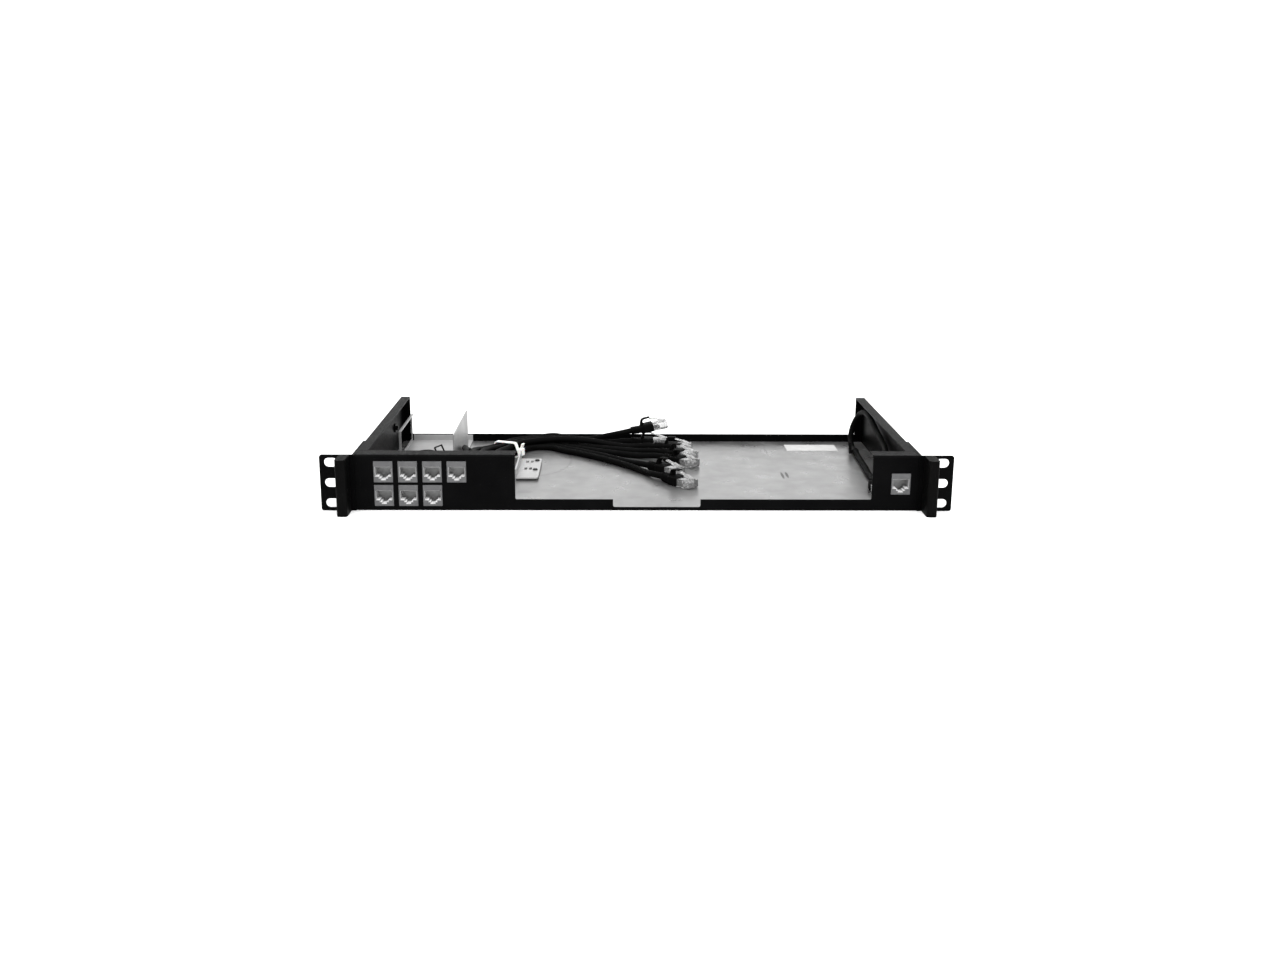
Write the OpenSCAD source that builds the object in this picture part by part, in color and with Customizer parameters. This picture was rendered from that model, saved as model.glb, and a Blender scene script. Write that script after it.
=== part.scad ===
// Rack-mount kit for a desktop firewall: a one-unit tray whose front carries eight network
// couplers, joined by short patch leads to the appliance that rests in the open bay.
// Millimetres, +Z up, +Y to the rear, origin at the centre of the footprint.

/* [Rack] */
// Overall width across the rack ears
rack_w = 482.6; // [482.6]
// Height of the ears, one rack unit less its clearance
ear_h = 43.66; // [43.4:0.02:44.4]
// Distance between the slot columns of the two ears
slot_span = 465.1; // [465.1]
// Vertical distance from one rack slot to the next
slot_pitch = 15.875; // [15.875]
// End-to-end length of a rack slot
slot_len = 10.3; // [9:0.1:10.4]
// Height of a rack slot
slot_h = 7.1; // [6.8:0.1:7.4]
// Thickness of an ear
ear_t = 1.6; // [1.2:0.1:2]
// How far a grip stands out in front of its ear
grip_out = 18; // [14:1:24]
// Width of a grip
grip_w = 8; // [7:0.5:8]

/* [Tray] */
// Width of the tray between its outer faces
tray_w = 430; // [430]
// Depth of the tray
tray_d = 230; // [230]
// Height of the front blocks and side walls
tray_h = 43.6; // [43.4:0.1:44]
// Thickness of the painted sheet
sheet = 1.2; // [1:0.1:1.2]
// Thickness of the bare floor plate
floor_t = 1; // [0.8:0.1:1]
// Left edge of the bay cut-out in the front panel
bay_left = -93.6; // [-96:0.2:-92]
// Right edge of the bay cut-out in the front panel
bay_right = 179.4; // [178:0.2:182]
// Height of the strip left below the bay cut-out
strip_h = 8.8; // [7:0.2:10]
// Height of the rear lip
lip_h = 9; // [7:0.5:10]

/* [Couplers and leads] */
// Distance from one coupler column to the next
port_pitch = 18.5; // [18.5:0.1:18.6]
// Height of the upper row of couplers
upper_z = 30.5; // [30.5:0.1:30.7]
// Height of the lower row of couplers
lower_z = 11.9; // [11.8:0.1:11.9]
// Diameter of a patch lead
lead_d = 5.2; // [4.8:0.1:5.2]

/* [Hidden] */
$fn = 32;
cut = 1; // how far a cutter runs past the face that it opens

// Planes of the tray
front_y = -(tray_d - grip_out) / 2;
back_y = front_y + tray_d;
wall_x = tray_w / 2;
floor_z = sheet + floor_t;
flange = 15; // depth of the front panel's top and bottom flanges
wall_flange = 8; // width of the flanges turned in from a side wall
bend_r = 1.8; // outer radius of a bend
gap = 0.2; // clearance between neighbouring sheets
mid_z = ear_h / 2;

// Couplers: x, z and number of the lead behind each
port_x = -193.4;
console_x = 201.4;
console_z = 21.4;
ports = [
    [port_x, upper_z], [port_x + port_pitch, upper_z],
    [port_x + 2 * port_pitch, upper_z], [port_x + 3 * port_pitch, upper_z],
    [port_x, lower_z], [port_x + port_pitch, lower_z], [port_x + 2 * port_pitch, lower_z],
    [console_x, console_z]];
face_w = 14.6;
face_h = 16.5;
face_out = 0.5; // how far a coupler stands proud of the panel
coupler_d = 27.5; // depth of a coupler behind the panel's front face
shell = 0.5;
port_w = 11.9;
port_h = 7.1;
port_deep = 12;
rear_h = 8.2;
rear_deep = 12.5;
ledge_out = 0.7; // height of the snap ledges that hold a coupler in its window

// Plugs, in their own frame: tip at the origin, body towards -X, latch on top
plug_l = 21.5;
plug_w = 11.7;
plug_top = 2.7;
plug_bottom = -4;
boot_l = 12;
boot_rear_r = 3.8;
sleeve_l = 8.3; // how far a boot reaches over the rear of its plug
sleeve_w = 13.3;
plug_all = plug_l + boot_l;
latch_w = 6.2;
hood_w = 5.4;
latch_x = -2.7; // hinge line behind the tip
latch_z = 3.5; // hinge line above the plug's axis
plug_z = floor_z + 4.1; // axis height of a plug that lies on the floor
seat_gap = 0.1; // from the rear socket's end wall to a seated plug
seam = 0.04; // between a lead's end and its boot
straight = 2; // straight stretch of a lead next to a boot
exit_y = front_y + coupler_d - rear_deep + seat_gap + plug_all + seam;

// Where each free plug lies: tip, heading and pitch
plugs = [
    [[31, 104, plug_z], 0, 0],
    [[30, 104, 23.9], 6, 12],
    [[52, 80, plug_z], -8, 0],
    [[54, 48, plug_z], -25, 0],
    [[38, -8, plug_z], -38, 0],
    [[52, 20, plug_z], -40, 0],
    [[46, -49, plug_z], -45, 0],
    [[193, -72, plug_z], -93, 0]];

// The seven leads run side by side here: x, y, heading and lift over the bundle tie
bundle = [[-114, 61, 68, 1.4], [-104.5, 79.5, 47, 0.9], [-88, 93.5, 12, 0]];
low = 5; // height of a lead that lies on the floor
high = 10.5; // height of a lead that lies on two others
// Each lead's place in the bundle: offset to the left of the run, and height
lanes = [[0, high], [5.6, high], [-5.6, high], [8.4, low], [-2.8, low], [2.8, low],
    [-8.4, low]];

// Each lead's own points, before the bundle and after it
starts = [
    [[-193.4, -52, 30.5], [-191, -45.5, 29.5], [-184.5, -41.5, 27.5], [-175, -41, 24],
        [-162, -41, 20], [-149, -41, 18.3], [-139, -40.5, 17.8], [-132.5, -36, 17.6],
        [-129.8, -26, 17.6], [-130, -8, 17.4], [-130.5, 10, 16.6], [-130, 27, 15.4],
        [-126.5, 40, 13.4], [-120.5, 51, 12.2]],
    [[-174.9, -52, 30.5], [-172.5, -45.5, 30.5], [-166, -41.5, 29.8], [-157, -41, 26.8],
        [-148, -41, 25.2], [-141, -38.5, 24.1], [-137, -32, 23.1], [-136, -20, 22.2],
        [-137, -2, 20.4], [-138, 15, 18], [-136.5, 30, 15.4], [-132, 43, 13], [-126, 53, 12]],
    [[-155.4, -50.9, 30.4], [-152.6, -47.9, 29.8], [-147, -46.7, 28], [-138, -46.7, 24.6],
        [-128, -46.7, 21.6], [-120, -44.5, 21], [-115.5, -37, 19.5], [-115, -25, 18.4],
        [-117, -8, 17], [-119, 9, 15.6], [-119, 24, 14], [-116.5, 37, 12.8], [-112.5, 48, 12]],
    [[-137.9, -50, 30.5], [-138.2, -40, 30.3], [-140, -24, 28.8], [-142.5, -6, 25.6],
        [-144, 10, 21.4], [-143.5, 24, 16.6], [-140.5, 37, 11.4], [-135, 48, 7.8],
        [-128, 56, 6.6]],
    [[-193.4, -52, 11.9], [-191, -45.5, 10], [-184.5, -41.5, 7.5], [-175, -41, 5.5],
        [-160, -41, 5], [-145, -41, 5], [-131, -41.5, 5], [-122, -39.5, 5], [-117.5, -31.5, 5],
        [-117.5, -18, 5], [-121, -2, 5], [-124.5, 12, 5], [-125, 25, 5], [-122.5, 37, 5],
        [-118, 48, 5.4]],
    [[-174.9, -52, 11.9], [-172.5, -45.5, 12.3], [-166, -41.5, 12], [-156, -41, 11.6],
        [-145, -41, 11], [-135, -40.3, 11], [-128.5, -36.5, 10], [-125, -28, 7.5],
        [-125.5, -15, 5.5], [-128.5, 0, 5], [-132, 15, 5], [-132.5, 29, 5], [-129.5, 41, 5],
        [-123.5, 51.5, 5.5]],
    [[-155.4, -50.9, 11.6], [-152.6, -47.9, 10.7], [-146, -46.9, 8.5], [-135, -47, 6],
        [-123, -46.5, 5], [-115, -43, 5], [-110.5, -34.5, 5], [-110, -20, 5], [-112.5, -4, 5],
        [-116, 11, 5], [-116.5, 24, 5], [-114, 36, 5], [-110, 47, 5.4]]];
ends = [
    [[-72, 99, 10.5], [-58, 101, 10], [-44, 103, 7.5], [-30, 104, 5.5], [-18, 104, 5.3]],
    [[-74, 107, 10.7], [-58, 111, 7.5], [-45, 113.3, 5.8], [-33.5, 110.7, 8],
        [-22, 104.5, 11.7]],
    [[-72, 92.5, 10.5], [-56, 92, 10.5], [-38, 91, 9], [-22, 89.5, 6.5], [-6, 87.5, 5.2]],
    [[-70, 102, 5], [-52, 91.5, 5], [-33, 83, 5], [-12, 75.5, 5], [3, 70.5, 5]],
    [[-73, 89, 5], [-60.5, 79, 5], [-42, 64, 5], [-24, 48, 5], [-8, 31.5, 5]],
    [[-71, 95, 5], [-56, 84.5, 5], [-37, 72, 5], [-17, 62, 5], [4, 53, 5]],
    [[-75, 83.5, 5], [-65, 74, 5], [-46, 58.5, 5], [-28, 41.5, 5], [-14, 26, 5],
        [-2, 10.5, 5], [9, -7, 5]]];
tie_lift = 5.6; // height of the console lead where its tie lifts it
// The console lead rises along the wall, turns down at the rear and comes back on the floor
console_route = [[201.4, -50, 21.4], [203.5, -38, 22.3],
    [207, -22, 23.8], [209.3, -6, 25.5], [209.8, 16, 28.5], [209.8, 38, 31.7],
    [209.8, 58, 35], [209.6, 75, 37.3], [209, 90, 36.5], [207.5, 102, 32.5],
    [205, 109, 25.5], [202.5, 111, 17], [200.8, 107.5, 9.5], [199.5, 97, 5.6],
    [198.5, 84, 5], [198.2, 68, tie_lift], [197.5, 50, 5], [197, 30, 5], [196.3, 8, 5],
    [195.2, -14, 5]];
lead_sides = 8;
rings_per_step = 2;

// ---------- Functions ----------
function unit(v) = v / norm(v);
function heading(h, pitch = 0) = [cos(h) * cos(pitch), sin(h) * cos(pitch), sin(pitch)];
function lane(s, z) =
    [for (b = bundle) [b[0] - s * sin(b[2]), b[1] + s * cos(b[2]), z + b[3]]];
function boot_end(p, back = 0) = p[0] - (plug_all + back) * heading(p[1], p[2]);
// A lead leaves a boot straight, and comes into one straight
function departure(p) = [for (y = [exit_y, exit_y + straight]) [p[0], y, p[1]]];
function arrival(p) = [for (back = [7, straight, seam]) boot_end(p, back)];
function route(i) = i < 7
    ? concat(departure(ports[i]), starts[i], lane(lanes[i][0], lanes[i][1]), ends[i],
        arrival(plugs[i]))
    : concat(departure(ports[i]), console_route, arrival(plugs[i]));
// Direction of a route at one of its points, weighted by the steps before and after
function along(p, i) =
    let (a = i > 0 ? p[i] - p[i - 1] : p[1] - p[0],
         b = i < len(p) - 1 ? p[i + 1] - p[i] : a)
    unit(unit(a) * norm(b) + unit(b) * norm(a));
function between(p, i, t) =
    let (d = norm(p[i + 1] - p[i]), m = along(p, i) * d, n = along(p, i + 1) * d)
    (2 * t^3 - 3 * t^2 + 1) * p[i] + (t^3 - 2 * t^2 + t) * m
        + (3 * t^2 - 2 * t^3) * p[i + 1] + (t^3 - t^2) * n;
function smooth(p) = concat(
    [for (i = [0 : len(p) - 2], k = [0 : rings_per_step - 1]) between(p, i, k / rings_per_step)],
    [p[len(p) - 1]]);
function ring(c, side, up, r) =
    [for (k = [0 : lead_sides - 1]) let (a = 360 * (k + 0.5) / lead_sides)
        c + r * (cos(a) * side + sin(a) * up)];
// A side vector carried along the run, so that the tube doesn't twist
function sides(p) = [for (
    i = 0, s = unit(cross(along(p, 0), [0, 0, 1]));
    i < len(p);
    i = i + 1, s = i < len(p) ? unit(s - (s * along(p, i)) * along(p, i)) : s) s];

// ---------- Shared shapes ----------
module block(low_corner, high_corner) {
    translate(low_corner) cube(high_corner - low_corner);
}

module round_rect(w, h, r) {
    square([w - 2 * r, h], center = true);
    square([w, h - 2 * r], center = true);
    for (x = [-1, 1], y = [-1, 1]) translate([x * (w / 2 - r), y * (h / 2 - r)]) circle(r);
}

// An upright opening through a plate that faces the front
module window(x, z, w, h, r = 0.4, from = front_y - cut, deep = 2 * cut + sheet) {
    translate([x, from, z]) rotate([-90, 0, 0])
        linear_extrude(deep) mirror([0, 1]) round_rect(w, h, r);
}

module slot(length, width) {
    square([length - width, width], center = true);
    for (x = [-1, 1]) translate([x * (length - width) / 2, 0]) circle(d = width);
}

module pan_screw(head_r, head_h, shank_r, shank_l) {
    cylinder(h = head_h, r1 = head_r, r2 = head_r * 0.8);
    translate([0, 0, -shank_l]) cylinder(h = shank_l, r = shank_r);
}

// ---------- Tray ----------
// Section of the front panel: plate with a top and a bottom flange, bends rounded outside
module panel_section() {
    difference() {
        union() {
            translate([0, bend_r]) square([sheet + 0.6, tray_h - 2 * bend_r]);
            translate([bend_r, 0]) square([flange - bend_r, tray_h]);
            for (z = [bend_r, tray_h - bend_r]) translate([bend_r, z]) circle(bend_r);
        }
        translate([sheet, sheet + 0.6]) square([flange + cut, tray_h - 2 * sheet - 1.2]);
        translate([sheet + 0.6, sheet]) square([flange + cut, tray_h - 2 * sheet]);
        for (z = [sheet + 0.6, tray_h - sheet - 0.6]) translate([sheet + 0.6, z]) circle(0.6);
    }
}

notch_left = -19;
notch_right = 48;
notch_z = 2.7;
bay_w = bay_right - bay_left;
tab_end = -90;
// Screws through ear, wall and the panel's end tab: y and z
ear_screw_spots = [for (y = [-97, -70], z = [10, 33]) [y, z]];
// Rivets that hold the floor plate to the flanges below it
rivet_spots = concat(
    [for (x = [-1, 1], y = [-60, 20, 90]) [x * (wall_x - 4.8), y]],
    [for (x = [-180, -60, 120, 190]) [x, front_y + 8]],
    [for (x = [-120, 0, 120]) [x, back_y - 9]]);
rivet_r = 1.6;
rivet_bore = 1.65;

module rivet_bores() {
    for (p = rivet_spots) translate([p[0], p[1], -cut]) cylinder(h = 5, r = rivet_bore);
}

module ear_screw_bores() {
    for (s = [-1, 1], p = ear_screw_spots)
        translate([s * (wall_x + 4), p[0], p[1]]) rotate([0, -s * 90, 0])
            cylinder(h = 8, r = screw_bore + 0.1);
}

module front_panel() {
    color("#141414") difference() {
        union() {
            translate([-wall_x + gap, front_y, 0]) rotate([90, 0, 90])
                linear_extrude(tray_w - 2 * gap) panel_section();
            for (s = [-1, 1]) {
                x = s * (wall_x - sheet) - (s > 0 ? sheet : 0);
                block([x, front_y + 1, floor_z + gap], [x + sheet, tab_end, tray_h - sheet - gap]);
            }
        }
        // Only the plate itself runs over the ends of the side walls
        for (s = [-1, 1]) translate([s * (wall_x + 3.8), front_y + sheet + 15, 20])
            cube([10, 30, 60], center = true);
        window((bay_left + bay_right) / 2, strip_h + 30, bay_w, 60, 1, front_y - cut, 30);
        window((notch_left + notch_right) / 2, notch_z + 10, notch_right - notch_left, 20, 1.5);
        for (p = ports) window(p[0], p[1], face_w + 0.3, face_h + 0.3);
        rivet_bores();
        ear_screw_bores();
    }
}

module side_wall(s) {
    x0 = wall_x - sheet;
    color("#141414") scale([s, 1, 1]) difference() {
        union() {
            block([x0, front_y + sheet + gap, 0], [wall_x, back_y, tray_h]);
            block([wall_x - wall_flange, front_y + flange + gap, tray_h - sheet],
                [wall_x, back_y, tray_h]);
            block([wall_x - wall_flange, front_y + flange + gap, 0],
                [wall_x, back_y - flange - sheet - gap, sheet]);
            block([wall_x - wall_flange, back_y - sheet, sheet], [wall_x, back_y, tray_h]);
        }
        rivet_bores();
        ear_screw_bores();
    }
}

module rear_lip() {
    y1 = back_y - sheet;
    color("#141414") difference() {
        union() {
            block([-wall_x + sheet + gap, y1 - sheet, 0], [wall_x - sheet - gap, y1, lip_h]);
            block([-wall_x + sheet + gap, y1 - flange, 0], [wall_x - sheet - gap, y1, sheet]);
        }
        rivet_bores();
    }
}

module floor_plate() {
    color("#b9bbbd") difference() {
        block([-wall_x + sheet + gap, front_y + bend_r + gap, sheet],
            [wall_x - sheet - gap, back_y - 2 * sheet - gap, floor_z]);
        rivet_bores();
    }
}

module frame_rivets() {
    color("#9a9c9e") for (p = rivet_spots)
        translate([p[0], p[1], 0]) cylinder(h = floor_z, r = rivet_r);
}

// ---------- Ears and grips ----------
grip_x = 226.4; // outer face of a grip
grip_r = 2.2; // rounding of a grip's front edges
grip_bore = 9; // depth of a grip's screw holes
screw_bore = 1.6;
ear_flange_end = -58;
grip_screw_z = [9, 34.6];

module ear(s) {
    plate_w = rack_w / 2 - wall_x;
    color("#171717") scale([s, 1, 1]) difference() {
        union() {
            translate([wall_x + plate_w / 2, front_y + ear_t, mid_z]) rotate([90, 0, 0])
                linear_extrude(ear_t) union() {
                    round_rect(plate_w, ear_h, 2);
                    translate([-plate_w / 2, -ear_h / 2]) square([plate_w / 2, ear_h]);
                }
            block([wall_x, front_y, 0], [wall_x + ear_t, ear_flange_end, ear_h]);
        }
        for (k = [-1 : 1])
            translate([slot_span / 2, front_y + ear_t + cut, mid_z + k * slot_pitch])
                rotate([90, 0, 0]) linear_extrude(ear_t + 2 * cut) slot(slot_len, slot_h);
        for (z = grip_screw_z) translate([grip_x - grip_w / 2, front_y - cut, z])
            rotate([-90, 0, 0]) cylinder(h = ear_t + 2 * cut, r = screw_bore);
        ear_screw_bores();
    }
}

module grip(s) {
    r = grip_r;
    color("#101010") scale([s, 1, 1]) difference() {
        union() {
            block([grip_x - grip_w, front_y - grip_out + r, 0], [grip_x, front_y, ear_h]);
            block([grip_x - grip_w + r, front_y - grip_out, 0],
                [grip_x - r, front_y, ear_h]);
            for (x = [grip_x - grip_w + r, grip_x - r])
                translate([x, front_y - grip_out + r, 0]) cylinder(h = ear_h, r = r);
        }
        for (z = grip_screw_z) translate([grip_x - grip_w / 2, front_y + cut, z])
            rotate([90, 0, 0]) cylinder(h = grip_bore + cut, r = screw_bore);
    }
}

module ear_screws() {
    color("#2a2a2a") for (s = [-1, 1], p = ear_screw_spots)
        translate([s * (wall_x + ear_t), p[0], p[1]]) rotate([0, s * 90, 0])
            pan_screw(3, 1.5, 1.5, 4);
}

module grip_screws() {
    color("#2a2a2a") for (s = [-1, 1], z = grip_screw_z)
        translate([s * (grip_x - grip_w / 2), front_y + ear_t, z]) rotate([-90, 0, 0])
            pan_screw(2.8, 1.6, 1.5, grip_bore);
}

// ---------- Power-supply cradle and divider ----------
cradle_left = -206;
cradle_right = -149.4;
cradle_front = 46;
cradle_back = back_y - 2 * sheet - gap - 1;
cradle_top = 28;
cradle_t = 1; // sheet of the cradle
cradle_flange = 2.2; // width of the flange along the cradle's top and front
window_end = 3; // from the cradle's ends to the window in its side
divider_x = -148.6;
divider_foot = 11; // width of the divider's foot
plate_t = 1.2; // sheet of the divider and of the side stop
small_bore = 1.7; // clearance hole of a cradle or foot screw
divider_front = -37;
divider_back = 63;
cradle_screw_spots = [[-196, 66], [-160, 108]];
foot_screw_spots = [[-154, -20], [-154, 30]];

module psu_cradle() {
    t = cradle_t;
    base_z = floor_z + t;
    color("#c4c6c8") difference() {
        union() {
            block([cradle_left, cradle_front, floor_z], [cradle_right, cradle_back, base_z]);
            // Upright side, with a flange along its top and its front end
            block([cradle_left, cradle_front, floor_z], [cradle_left + t, cradle_back, cradle_top]);
            block([cradle_left, cradle_front, cradle_top - t],
                [cradle_left + cradle_flange, cradle_back, cradle_top]);
            block([cradle_left, cradle_front, floor_z],
                [cradle_left + cradle_flange, cradle_front + t, cradle_top]);
            // Low lip at the rear
            block([cradle_left + 2, cradle_back - t, floor_z],
                [cradle_right, cradle_back, lip_h - 0.6]);
        }
        block([cradle_left - cut, cradle_front + window_end, base_z + 2],
            [cradle_left + t + cut, cradle_back - window_end, cradle_top - 2.5]);
        for (p = cradle_screw_spots)
            translate([p[0], p[1], floor_z - cut]) cylinder(h = t + 2 * cut, r = small_bore);
    }
}

module divider_plate() {
    foot_z = floor_z + plate_t;
    color("#d2d4d6") difference() {
        union() {
            block([divider_x, divider_front, floor_z],
                [divider_x + plate_t, divider_back, tray_h]);
            block([divider_x - divider_foot, divider_front + 3, floor_z],
                [divider_x + plate_t, cradle_front - 2, foot_z]);
        }
        for (p = foot_screw_spots)
            translate([p[0], p[1], floor_z - cut]) cylinder(h = plate_t + 2 * cut, r = small_bore);
    }
}

module cradle_screws() {
    color("#8c8e90") {
        for (p = cradle_screw_spots)
            translate([p[0], p[1], floor_z + cradle_t]) pan_screw(3, 1.7, 1.5, cradle_t);
        for (p = foot_screw_spots)
            translate([p[0], p[1], floor_z + plate_t]) pan_screw(3, 1.7, 1.5, plate_t);
    }
}

// A small square loop on a pad, leaning to one side, which holds the power lead in the cradle
clip_spot = [-174.3, 57];
clip_lean = 22;
clip_w = 7.4;
clip_h = 7.4;
clip_bar = 0.8;

module cable_clip() {
    foot = clip_w * cos(clip_lean);
    color("#1c1c1c") translate([clip_spot[0], clip_spot[1], floor_z + cradle_t]) {
        block([-2.5, -4, 0], [7.5, 4, 1]);
        // Wedge under the loop's raised side
        translate([0, 2, 1]) rotate([90, 0, 0]) linear_extrude(4)
            polygon([[0, -0.2], [foot, -0.2], [foot, clip_w * sin(clip_lean)], [0, 0]]);
        translate([0, 0, 1]) rotate([0, -clip_lean, 0]) difference() {
            block([0, -2, 0], [clip_w, 2, clip_h]);
            block([clip_bar, -2 - cut, clip_bar],
                [clip_w - clip_bar, 2 + cut, clip_h - clip_bar]);
        }
    }
}

// A black push-in clip on the inside of the left wall: y and z
wall_clip_spot = [73.5, 25];

module wall_clip() {
    color("#1c1c1c") translate([sheet - wall_x, wall_clip_spot[0], wall_clip_spot[1]]) {
        block([0, -2.6, -3.4], [1.2, 2.6, 3.4]);
        rotate([0, 90, 0]) cylinder(h = 3.4, r = 1.9);
    }
}

// ---------- Side stop for the appliance ----------
stop_left = -100;
stop_right = -81;
stop_front = -24;
stop_back = 42;
stop_top = 4.8;
stop_screw_spots = [[-84.8, 2], [-84.8, 34]];

module device_bracket() {
    color("#cfd1d3") difference() {
        union() {
            translate([(stop_left + stop_right) / 2, (stop_front + stop_back) / 2,
                stop_top - plate_t])
                linear_extrude(plate_t)
                    round_rect(stop_right - stop_left, stop_back - stop_front, 3);
            block([stop_left, stop_front, stop_top - plate_t],
                [stop_left + 5, stop_back, stop_top]);
            block([stop_left, stop_front, stop_top - plate_t],
                [stop_left + plate_t, stop_back, stop_top + 7]);
            for (y = [stop_front + 5, stop_back - 13])
                block([stop_left + 3, y, floor_z], [stop_right - 3, y + 8, stop_top]);
        }
        for (x = [-93, -89], y = [7, 31]) translate([x, y, 0]) rotate(90)
            linear_extrude(10) slot(8, 2.4);
        for (p = stop_screw_spots) translate([p[0], p[1], 0]) cylinder(h = 10, r = 1.4);
    }
}

module bracket_screws() {
    color("#707274") for (p = stop_screw_spots)
        translate([p[0], p[1], stop_top]) pan_screw(2.2, 1.2, 1.3, stop_top - floor_z);
}

module floor_label() {
    color("#f0f0ec") block([139, 84, floor_z], [185.5, 107.5, floor_z + 0.15]);
}

// ---------- Couplers ----------
face_y = front_y - face_out;
rear_y = front_y + coupler_d;

module coupler_shell() {
    difference() {
        union() {
            block([-face_w / 2, face_y, -face_h / 2], [face_w / 2, rear_y, face_h / 2]);
            // Snap ledges behind the panel, the upper one sloping down to the rear
            block([-5, front_y + sheet + 0.1, -face_h / 2 - ledge_out],
                [5, front_y + sheet + 3, -face_h / 2 + 0.5]);
            translate([-5, 0, 0]) rotate([90, 0, 90]) linear_extrude(10)
                polygon([[front_y + sheet + 0.1, face_h / 2 - 0.5],
                    [front_y + sheet + 0.1, face_h / 2 + ledge_out],
                    [front_y + sheet + 2, face_h / 2 + ledge_out],
                    [front_y + sheet + 8, face_h / 2 - 0.5]]);
        }
        block([-face_w / 2 + shell, face_y + shell, -face_h / 2 + shell],
            [face_w / 2 - shell, rear_y + cut, face_h / 2 - shell]);
        port_outline(face_y - cut, 2 * cut, 0.4);
    }
}

// The socket opening: wide for the plug, stepped below for its latch
module port_outline(from, deep, grow = 0) {
    w = port_w + 2 * grow;
    translate([0, from, 0]) {
        block([-w / 2, 0, -port_h / 2 - grow], [w / 2, deep, port_h / 2 + grow]);
        block([-3.2 - grow, 0, -port_h / 2 - 1.5 - grow], [3.2 + grow, deep, 0]);
        block([-1.7 - grow, 0, -port_h / 2 - 2.9 - grow], [1.7 + grow, deep, 0]);
    }
}

module coupler(i) {
    color("#b4b6b8") translate([ports[i][0], 0, ports[i][1]]) coupler_shell();
}

module coupler_inserts() {
    slack = shell + 0.05;
    color("#c9cbc9") for (p = ports) translate([p[0], 0, p[1]]) difference() {
        block([-face_w / 2 + slack, face_y + slack, -face_h / 2 + slack],
            [face_w / 2 - slack, rear_y, face_h / 2 - slack]);
        port_outline(face_y - cut, port_deep + cut);
        block([-port_w / 2, rear_y - rear_deep, -rear_h / 2],
            [port_w / 2, rear_y + cut, rear_h / 2]);
        block([-2, rear_y - rear_deep, -6.6], [2, rear_y + cut, 0]);
    }
}

contact_pitch = 1.02;
contact_w = 0.45;

module coupler_contacts() {
    color("#d9b45a") for (p = ports, k = [-3.5 : 3.5])
        translate([p[0] + k * contact_pitch - contact_w / 2, face_y, p[1]])
            rotate([90, 0, 90]) linear_extrude(contact_w)
                polygon([[2, port_h / 2 - 0.05], [3, port_h / 2 - 0.05], [11.5, 1.9],
                    [11.5, 1.5]]);
}

// ---------- Plugs, boots and latches ----------
module plug_shell() {
    translate([0, plug_w / 2, 0]) rotate([90, 0, 0]) linear_extrude(plug_w)
        polygon([[-plug_l, plug_bottom], [-1, plug_bottom], [0, plug_bottom + 1],
            [0, plug_top - 0.4], [-0.4, plug_top], [-plug_l, plug_top]]);
}

module plug_body() {
    difference() {
        union() {
            plug_shell();
            block([-1.9, -latch_w / 2, 0], [-0.2, latch_w / 2, plug_top + 1.2]);
        }
        // Row of grooves in the underside of the nose, one for each contact
        for (k = [-3.5 : 3.5]) block([-6.5, k * contact_pitch - 0.3, plug_bottom - cut],
            [cut, k * contact_pitch + 0.3, plug_bottom + 1.3]);
    }
}

module plug_contact_row() {
    for (k = [-3.5 : 3.5]) block([-6, k * contact_pitch - 0.2, plug_bottom + 0.3],
        [-1.6, k * contact_pitch + 0.2, plug_bottom + 1.3]);
}

module boot_body() {
    hull() {
        translate([-plug_l - 1.5, 0, -0.6]) rotate([90, 0, 90]) linear_extrude(1.5)
            round_rect(plug_w - 0.4, 6.4, 1);
        translate([-plug_all, 0, 0]) rotate([0, 90, 0]) cylinder(h = 2, r = boot_rear_r);
    }
    // Sleeve over the rear of the plug, open below
    difference() {
        block([-plug_l, -sleeve_w / 2, plug_bottom], [-plug_l + sleeve_l, sleeve_w / 2, 3.5]);
        block([-plug_l - cut, -plug_w / 2 - 0.05, plug_bottom - cut],
            [-plug_l + sleeve_l + cut, plug_w / 2 + 0.05, plug_top + 0.05]);
    }
    // Hood over the latch's tail
    translate([0, hood_w / 2, 0]) rotate([90, 0, 0]) linear_extrude(hood_w)
        polygon([[-25, 1], [-21.6, 1], [-21.6, 6.9], [-20, 8.2], [-14.6, 8.4], [-14.6, 9.3],
            [-20.6, 9.1], [-23.4, 7.2]]);
}

module latch_arm() {
    translate([latch_x, 0, latch_z]) {
        translate([0, latch_w / 2, 0]) rotate([90, 0, 0]) cylinder(h = latch_w, r = 0.5);
        translate([0, latch_w / 2, 0]) rotate([90, 0, 0]) linear_extrude(latch_w)
            polygon([[0, -0.5], [0, 0.5], [-5.4, 2.5], [-5.4, 1.4]]);
        translate([0, 1.6, 0]) rotate([90, 0, 0]) linear_extrude(3.2)
            polygon([[-5, 1.3], [-5, 2.3], [-11.8, 4.3], [-12.6, 4.2], [-12.6, 3.5]]);
    }
}

// Puts a plug-frame shape where free plug i lies
module at_plug(i) {
    translate(plugs[i][0]) rotate([0, -plugs[i][2], plugs[i][1]]) children();
}

// Puts a plug-frame shape in the rear of coupler i, latch downwards
module at_port(i) {
    translate([ports[i][0], rear_y - rear_deep + seat_gap, ports[i][1]]) rotate([0, 0, -90])
        rotate([180, 0, 0]) children();
}

module free_plug(i) {
    color("#dfe3e4") at_plug(i) plug_body();
}

module free_latch(i) {
    color("#dfe3e4") at_plug(i) latch_arm();
}

module free_boots() {
    color("#121212") for (i = [0 : 7]) at_plug(i) boot_body();
}

module plug_contacts() {
    color("#d9b45a") for (i = [0 : 7]) at_plug(i) plug_contact_row();
}

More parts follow.
